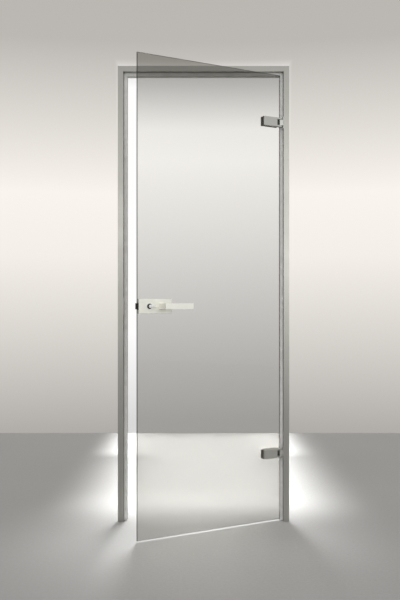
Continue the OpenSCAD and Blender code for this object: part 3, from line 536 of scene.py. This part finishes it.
class DOOR_OT_glass(bpy.types.Operator):
    """Make the glass leaf, with polished faces and ground edges"""

    bl_idname = "door.glass"
    bl_label = "Glass leaf"

    def execute(self, context):
        finish = context.scene.door_finish
        clear = glass("glass_clear", CLEAR, finish, 0.0)
        # The ground edges take the near-black painted shade colour
        ground = glass("glass_ground_painted_shade", finish.edge_painted_shade, finish, 0.3)
        shape = merged_copy("glass_leaf")
        across = Vector((-LEAF_ALONG.y, LEAF_ALONG.x, 0.0))
        self.clear_panes(shape, across)
        for face in shape.faces:
            face.material_index = 0 if abs(face.normal.dot(across)) > 0.99 else 1
        new_piece("glass_pane", shape, "leaf", ["glass_leaf"], [clear, ground])
        return {"FINISHED"}

    def clear_panes(self, shape, across):
        """Turns both faces of the pane, outside the metal that covers its holes, into a few quads."""
        covers = [self.cover(name) for name in ("lock_case", "clamp_front_top", "clamp_front_bottom")]
        cuts = [{end for along, _ in covers for end in along}, {end for _, up in covers for end in up}]
        for direction, places in zip((LEAF_ALONG, UP), cuts):
            for place in places:
                bmesh.ops.bisect_plane(
                    shape, geom=shape.verts[:] + shape.edges[:] + shape.faces[:],
                    dist=SAME_PLANE, plane_co=direction * place, plane_no=direction)
        for side in (-1, 1):
            fields = {}
            for face in shape.faces:
                middle = face.calc_center_median()
                along, up = middle.dot(LEAF_ALONG), middle.z
                covered = any(a[0] < along < a[1] and b[0] < up < b[1] for a, b in covers)
                if not covered and face.normal.dot(across) * side > 0.9:
                    field = (sum(along > cut for cut in cuts[0]), sum(up > cut for cut in cuts[1]))
                    fields.setdefault(field, []).append(face)
            for faces in fields.values():
                bmesh.ops.dissolve_faces(shape, faces=faces, use_verts=True)
        bmesh.ops.recalc_face_normals(shape, faces=shape.faces[:])

    def cover(self, name):
        """Where a node lies along the leaf and in height, drawn in a little."""
        points = [vertex.co for vertex in NODES[name].data.vertices]
        spans = []
        for direction in (LEAF_ALONG, UP):
            reach = [point.dot(direction) for point in points]
            spans.append((min(reach) + COVER_INSET, max(reach) - COVER_INSET))
        return spans


class DOOR_OT_lock(bpy.types.Operator):
    """Finish the lock's case, cover, plate, pads and bushes"""

    bl_idname = "door.lock"
    bl_label = "Lock"

    def execute(self, context):
        scene = context.scene
        finish, edges = scene.door_finish, scene.door_edges
        case = satin_casting("lock_satin", finish.handle_colour, LEAF_TURN)
        plate = zinc_steel("zinc_plate", finish.steel_colour)
        black = moulded("guide_black", finish.black_colour)
        pad = rubber("pad_rubber_lock", LOCK_PAD_COLOUR, PAD_LINES)
        nylon = moulded("nylon_lock", NYLON_COLOUR, NYLON_ROUGH)
        finish_nodes(["lock_case", "lock_cover"], case, edges.casting, edges.steps)
        finish_nodes(["lock_plate"], plate, edges.small, 1)
        finish_nodes(["lock_pad_front", "lock_pad_back"], pad, edges.small, 1)
        finish_nodes(
            ["lock_sleeves", "lever_bush_front", "lever_bush_back"], nylon, edges.small, 1)
        finish_nodes(["latch_guide"], black, edges.small, 2)
        return {"FINISHED"}


class DOOR_OT_levers(bpy.types.Operator):
    """Finish the levers, the spindle and the follower"""

    bl_idname = "door.levers"
    bl_label = "Levers"

    def execute(self, context):
        scene = context.scene
        finish, edges = scene.door_finish, scene.door_edges
        # Painted light: the levers take the case's colour made lighter
        bar = satin_casting("lever_satin_painted_light", shade(finish.handle_colour, LEVER_PAINTED_LIGHT), LEAF_TURN)
        steel = zinc_steel("zinc_spindle", finish.steel_colour)
        finish_nodes(["lever_front", "lever_back"], bar, edges.casting, edges.steps)
        finish_nodes(["spindle", "follower"], steel, edges.small, 1)
        return {"FINISHED"}


class DOOR_OT_latch(bpy.types.Operator):
    """Finish the latch"""

    bl_idname = "door.latch"
    bl_label = "Latch"

    def execute(self, context):
        scene = context.scene
        made = Material("latch_black", scene.door_finish.black_colour, 0.6, 0.36)
        rub = made.noise((260.0, 40.0, 260.0), LEAF_TURN, detail=5.0)
        black = scene.door_finish.black_colour
        made.colours(rub, [(0.3, shade(black, 0.8)), (0.6, black), (0.8, shade(black, 2.6))])
        made.rough(rub, 0.3, 0.45)
        made.relief([(rub, 0.1, 0.00003)])
        finish_nodes(["latch_bolt"], made.data, scene.door_edges.small, 2)
        return {"FINISHED"}


class DOOR_OT_turn(bpy.types.Operator):
    """Finish the turn, its rings and its snib"""

    bl_idname = "door.turn"
    bl_label = "Turn"

    def execute(self, context):
        scene = context.scene
        finish, edges = scene.door_finish, scene.door_edges
        chrome = polished_metal("turn_chrome", CHROME_COLOUR)
        black = moulded("ring_black", finish.black_colour)
        steel = zinc_steel("zinc_snib", finish.steel_colour)
        finish_nodes(["turn_knob", "turn_release"], chrome, edges.turn, 3)
        finish_nodes(["turn_rose_front", "turn_rose_back"], black, edges.turn, 2)
        finish_nodes(["turn_spindle", "turn_snib"], steel, edges.small, 1)
        return {"FINISHED"}


class DOOR_OT_springs(bpy.types.Operator):
    """Finish the springs of the latch and the levers"""

    bl_idname = "door.springs"
    bl_label = "Springs"

    def execute(self, context):
        steel = zinc_steel("spring_steel", context.scene.door_finish.steel_colour)
        give(["latch_spring", "lever_spring"], steel)
        return {"FINISHED"}


# ---------------------------------------------------------------- stage

# Floor: width, depth, how far it runs behind the door, and its drop below the feet
FLOOR_WIDTH = 16.0
FLOOR_DEPTH = 11.0
FLOOR_BEHIND = 2.375
FLOOR_DROP = 0.0005

# Camera: place across the doorway, focal length, sensor and upward shift
CAMERA_ACROSS = -0.0157
CAMERA_LENS = 46.36
CAMERA_SENSOR = 36.0
CAMERA_SHIFT = 0.00625

# Soft lights in front: side, name and share of the side power
SIDE_LIGHTS = ((-1, "light_left", 0.8), (1, "light_right", 1.25))
CORNER_LIGHTS = ((-1, "light_corner_left"), (1, "light_corner_right"))
CORNER_SHARE = 0.055

# Parts of the world, as bounds of a direction's components between which one glow gives way
# to the next: the doorway's sides and top, far out at the sides, the front's left and right,
# and from the front to behind the door
DOORWAY_MIDDLE = 0.0045
DOORWAY_SIDES = (0.098, 0.110)
DOORWAY_TOP = (0.284, 0.302)
FAR_SIDES = (0.35, 0.70)
FRONT_LEFT = (-0.2, -0.8)
FRONT_RIGHT = (0.2, 0.8)
BEHIND = (-0.1, 0.5)
NEUTRAL_TONE = (1.0, 0.993, 0.985)
WARM_TONE = (1.0, 0.955, 0.90)
BRIGHTEST_SHOWN = 1.0
GLOW_TOP = 2.0

# World brightness over the sine of the elevation: through the doorway, around it, far out
# at both sides behind the door, in front of it, and at the front's left and right
DOORWAY_GLOW = [(-0.15, 0.7), (0.0, 1.1), (0.18, 1.7), (0.22, 1.65), (0.28, 0.85), (1.0, 0.6)]
AROUND_GLOW = [(-0.2, 0.35), (0.06, 0.9), (0.14, 0.95), (0.32, 0.5), (1.0, 0.4)]
SIDES_GLOW = [(-0.40, 0.10), (0.0, 0.16), (0.30, 0.20), (1.0, 0.50)]
FRONT_GLOW = [(-0.30, 0.50), (-0.10, 0.56), (0.05, 0.66), (0.25, 0.54), (0.5, 0.76), (1.0, 1.7)]
LEFT_GLOW = [(-0.40, 0.14), (0.0, 0.14), (0.30, 0.16), (0.6, 0.30), (1.0, 1.4)]
RIGHT_GLOW = [
    (-0.40, 0.30), (-0.10, 0.34), (0.0, 0.90), (0.10, 1.22), (0.19, 1.25), (0.27, 0.50), (0.32, 0.22),
    (0.42, 0.5), (0.6, 1.2), (1.0, 1.7)]


def glow_ramp(tree, stops, level):
    """A brightness that follows the elevation, as a value socket."""
    ramp = tree.nodes.new("ShaderNodeFloatCurve")
    curve = ramp.mapping.curves[0]
    points = [((sine + 1) / 2, value / GLOW_TOP) for sine, value in stops]
    curve.points[0].location = (0.0, points[0][1])
    curve.points[1].location = points[-1]
    for place in points[:-1]:
        curve.points.new(*place)
    for point in curve.points:
        point.handle_type = "VECTOR"
    ramp.mapping.update()
    tree.links.new(level, ramp.inputs["Value"])
    return calculate(tree, "MULTIPLY", ramp.outputs["Value"], GLOW_TOP)


def span(tree, value, bounds, interpolation="SMOOTHSTEP"):
    """A value's place between two bounds, from 0 to 1."""
    node = tree.nodes.new("ShaderNodeMapRange")
    node.interpolation_type = interpolation
    node.inputs["From Min"].default_value = bounds[0]
    node.inputs["From Max"].default_value = bounds[1]
    tree.links.new(value, node.inputs["Value"])
    return node.outputs["Result"]


def blend(tree, share, first, second):
    """A mix of two values."""
    node = tree.nodes.new("ShaderNodeMix")
    tree.links.new(share, node.inputs["Factor"])
    tree.links.new(first, node.inputs["A"])
    tree.links.new(second, node.inputs["B"])
    return node.outputs["Result"]


def calculate(tree, operation, *values):
    """A Math node on sockets or numbers."""
    node = tree.nodes.new("ShaderNodeMath")
    node.operation = operation
    for socket, value in zip(node.inputs, values):
        if isinstance(value, float):
            socket.default_value = value
        else:
            tree.links.new(value, socket)
    return node.outputs["Value"]


class DOOR_OT_stage(bpy.types.Operator):
    """Set the floor, the light and the camera"""

    bl_idname = "door.stage"
    bl_label = "Stage"

    def execute(self, context):
        self.floor(context.scene)
        self.world(context.scene)
        self.lights(context.scene)
        self.camera(context.scene)
        context.scene.view_settings.view_transform = "Standard"
        return {"FINISHED"}

    def floor(self, scene):
        """A pale floor that ends a little way behind the door."""
        shape = bmesh.new()
        bmesh.ops.create_grid(shape, x_segments=1, y_segments=1, size=0.5)
        bmesh.ops.scale(shape, vec=(FLOOR_WIDTH, FLOOR_DEPTH, 1.0), verts=shape.verts[:])
        middle = (0.0, FLOOR_BEHIND - FLOOR_DEPTH / 2, -FLOOR_DROP)
        bmesh.ops.translate(shape, vec=middle, verts=shape.verts[:])
        mesh = bpy.data.meshes.new("floor")
        shape.to_mesh(mesh)
        shape.free()
        floor = bpy.data.objects.new("floor", mesh)
        scene.collection.objects.link(floor)
        colour = scene.door_stage.floor_colour
        made = Material("floor_pale", colour, 0.0, 0.5)
        cloud = made.noise((1.2, 1.2, 1.2))
        grit = made.noise((90.0, 90.0, 90.0), detail=4.0)
        made.colours(cloud, [(0.3, shade(colour, 0.97)), (0.7, shade(colour, 1.02))])
        made.rough(grit, 0.42, 0.55)
        mesh.materials.append(made.data)

    def world(self, scene):
        """Soft light from all round, with a bright room seen through the doorway."""
        world = bpy.data.worlds.new("studio")
        scene.world = world
        world.use_nodes = True
        tree = world.node_tree
        tree.nodes.clear()
        place = tree.nodes.new("ShaderNodeTexCoord")
        parts = tree.nodes.new("ShaderNodeSeparateXYZ")
        tree.links.new(place.outputs["Generated"], parts.inputs["Vector"])
        across, deep, high = (parts.outputs[name] for name in "XYZ")
        sine = span(tree, high, (-1.0, 1.0), "LINEAR")
        doorway, beside, sides, ahead, left, right = (
            glow_ramp(tree, stops, sine)
            for stops in (
                DOORWAY_GLOW, AROUND_GLOW, SIDES_GLOW, FRONT_GLOW, LEFT_GLOW, RIGHT_GLOW))
        front = blend(tree, span(tree, across, FRONT_LEFT), ahead, left)
        front = blend(tree, span(tree, across, FRONT_RIGHT), front, right)
        sideways = calculate(
            tree, "ABSOLUTE", calculate(tree, "SUBTRACT", across, DOORWAY_MIDDLE))
        around = calculate(
            tree, "MAXIMUM", span(tree, sideways, DOORWAY_SIDES), span(tree, high, DOORWAY_TOP))
        back = blend(tree, around, doorway, beside)
        back = blend(tree, span(tree, sideways, FAR_SIDES), back, sides)
        behind = span(tree, deep, BEHIND)
        tone = tree.nodes.new("ShaderNodeMix")
        tone.data_type = "RGBA"
        tone.inputs["A"].default_value = (*NEUTRAL_TONE, 1)
        tone.inputs["B"].default_value = (*WARM_TONE, 1)
        tree.links.new(calculate(tree, "MULTIPLY", around, behind), tone.inputs["Factor"])
        background = tree.nodes.new("ShaderNodeBackground")
        tree.links.new(tone.outputs["Result"], background.inputs["Color"])
        glow = blend(tree, behind, front, back)
        seen = tree.nodes.new("ShaderNodeLightPath").outputs["Is Camera Ray"]
        shown = blend(tree, seen, glow, calculate(tree, "MINIMUM", glow, BRIGHTEST_SHOWN))
        tree.links.new(shown, background.inputs["Strength"])
        output = tree.nodes.new("ShaderNodeOutputWorld")
        tree.links.new(background.outputs["Background"], output.inputs["Surface"])

    def lights(self, scene):
        """Two soft lights in front, and others over the floor behind and in the doorway."""
        stage = scene.door_stage
        for side, name, share in SIDE_LIGHTS:
            self.area(
                scene, name, (side * 0.75, -2.9, 1.6), (side * 0.1, 0.0, 1.2),
                (1.2, 1.2), share * stage.side_power, spread=110)
        self.area(
            scene, "light_back", (0.03, 1.28, 0.7), (0.03, 1.28, 0.0),
            (1.02, 2.2), stage.back_power, spread=56)
        for side, name in CORNER_LIGHTS:
            self.area(
                scene, name, (side * 0.50, 2.0, 0.35), (side * 0.50, 2.0, 0.0),
                (0.26, 0.9), CORNER_SHARE * stage.back_power, spread=50)
        self.area(
            scene, "light_doorway", (0.0, 1.0, 1.75), (-0.05, -0.1, 0.0),
            (0.6, 0.4), stage.door_power, spread=38)

    def area(self, scene, name, place, target, size, power, spread):
        """A soft light at a place, aimed at a target, that the camera doesn't see."""
        data = bpy.data.lights.new(name, "AREA")
        data.energy = power
        data.shape = "RECTANGLE"
        data.size, data.size_y = size
        data.spread = math.radians(spread)
        light = bpy.data.objects.new(name, data)
        scene.collection.objects.link(light)
        light.location = place
        aim = Vector(target) - Vector(place)
        light.rotation_euler = aim.to_track_quat("-Z", "Y").to_euler()
        light.visible_camera = False
        light.visible_transmission = False

    def camera(self, scene):
        """A level camera that looks straight at the doorway."""
        data = bpy.data.cameras.new("camera")
        data.sensor_width = CAMERA_SENSOR
        data.lens = CAMERA_LENS
        data.shift_y = CAMERA_SHIFT
        camera = bpy.data.objects.new("camera", data)
        scene.collection.objects.link(camera)
        stage = scene.door_stage
        camera.location = (CAMERA_ACROSS, -stage.eye_distance, stage.eye_height)
        camera.rotation_euler = (math.radians(90), 0.0, 0.0)
        scene.camera = camera


# ---------------------------------------------------------------- add-on

OPERATORS = (
    DOOR_OT_frame_profiles, DOOR_OT_corner_joints, DOOR_OT_seals, DOOR_OT_strike,
    DOOR_OT_hinges, DOOR_OT_glass, DOOR_OT_lock, DOOR_OT_levers, DOOR_OT_latch,
    DOOR_OT_turn, DOOR_OT_springs, DOOR_OT_stage)


class DOOR_PT_finishes(bpy.types.Panel):
    """Lists the steps that finish the door"""

    bl_idname = "DOOR_PT_finishes"
    bl_label = "Glass door"
    bl_space_type = "VIEW_3D"
    bl_region_type = "UI"
    bl_category = "Door"

    def draw(self, context):
        scene = context.scene
        for operator in OPERATORS:
            self.layout.operator(operator.bl_idname)
        for group in (scene.door_finish, scene.door_edges, scene.door_stage):
            box = self.layout.box()
            for name in group.__annotations__:
                box.prop(group, name)


CLASSES = (DoorFinish, DoorEdges, DoorStage, *OPERATORS, DOOR_PT_finishes)


def register():
    """Registers the classes and the settings on the scene."""
    for item in CLASSES:
        bpy.utils.register_class(item)
    bpy.types.Scene.door_finish = PointerProperty(type=DoorFinish)
    bpy.types.Scene.door_edges = PointerProperty(type=DoorEdges)
    bpy.types.Scene.door_stage = PointerProperty(type=DoorStage)


def unregister():
    """Takes the settings and the classes away again."""
    del bpy.types.Scene.door_stage
    del bpy.types.Scene.door_edges
    del bpy.types.Scene.door_finish
    for item in reversed(CLASSES):
        bpy.utils.unregister_class(item)


def main():
    """Runs every step in order."""
    register()
    for operator in OPERATORS:
        group, name = operator.bl_idname.split(".")
        if getattr(getattr(bpy.ops, group), name)() != {"FINISHED"}:
            raise RuntimeError(f"{operator.bl_label} was not finished")


if __name__ == "__main__":
    main()
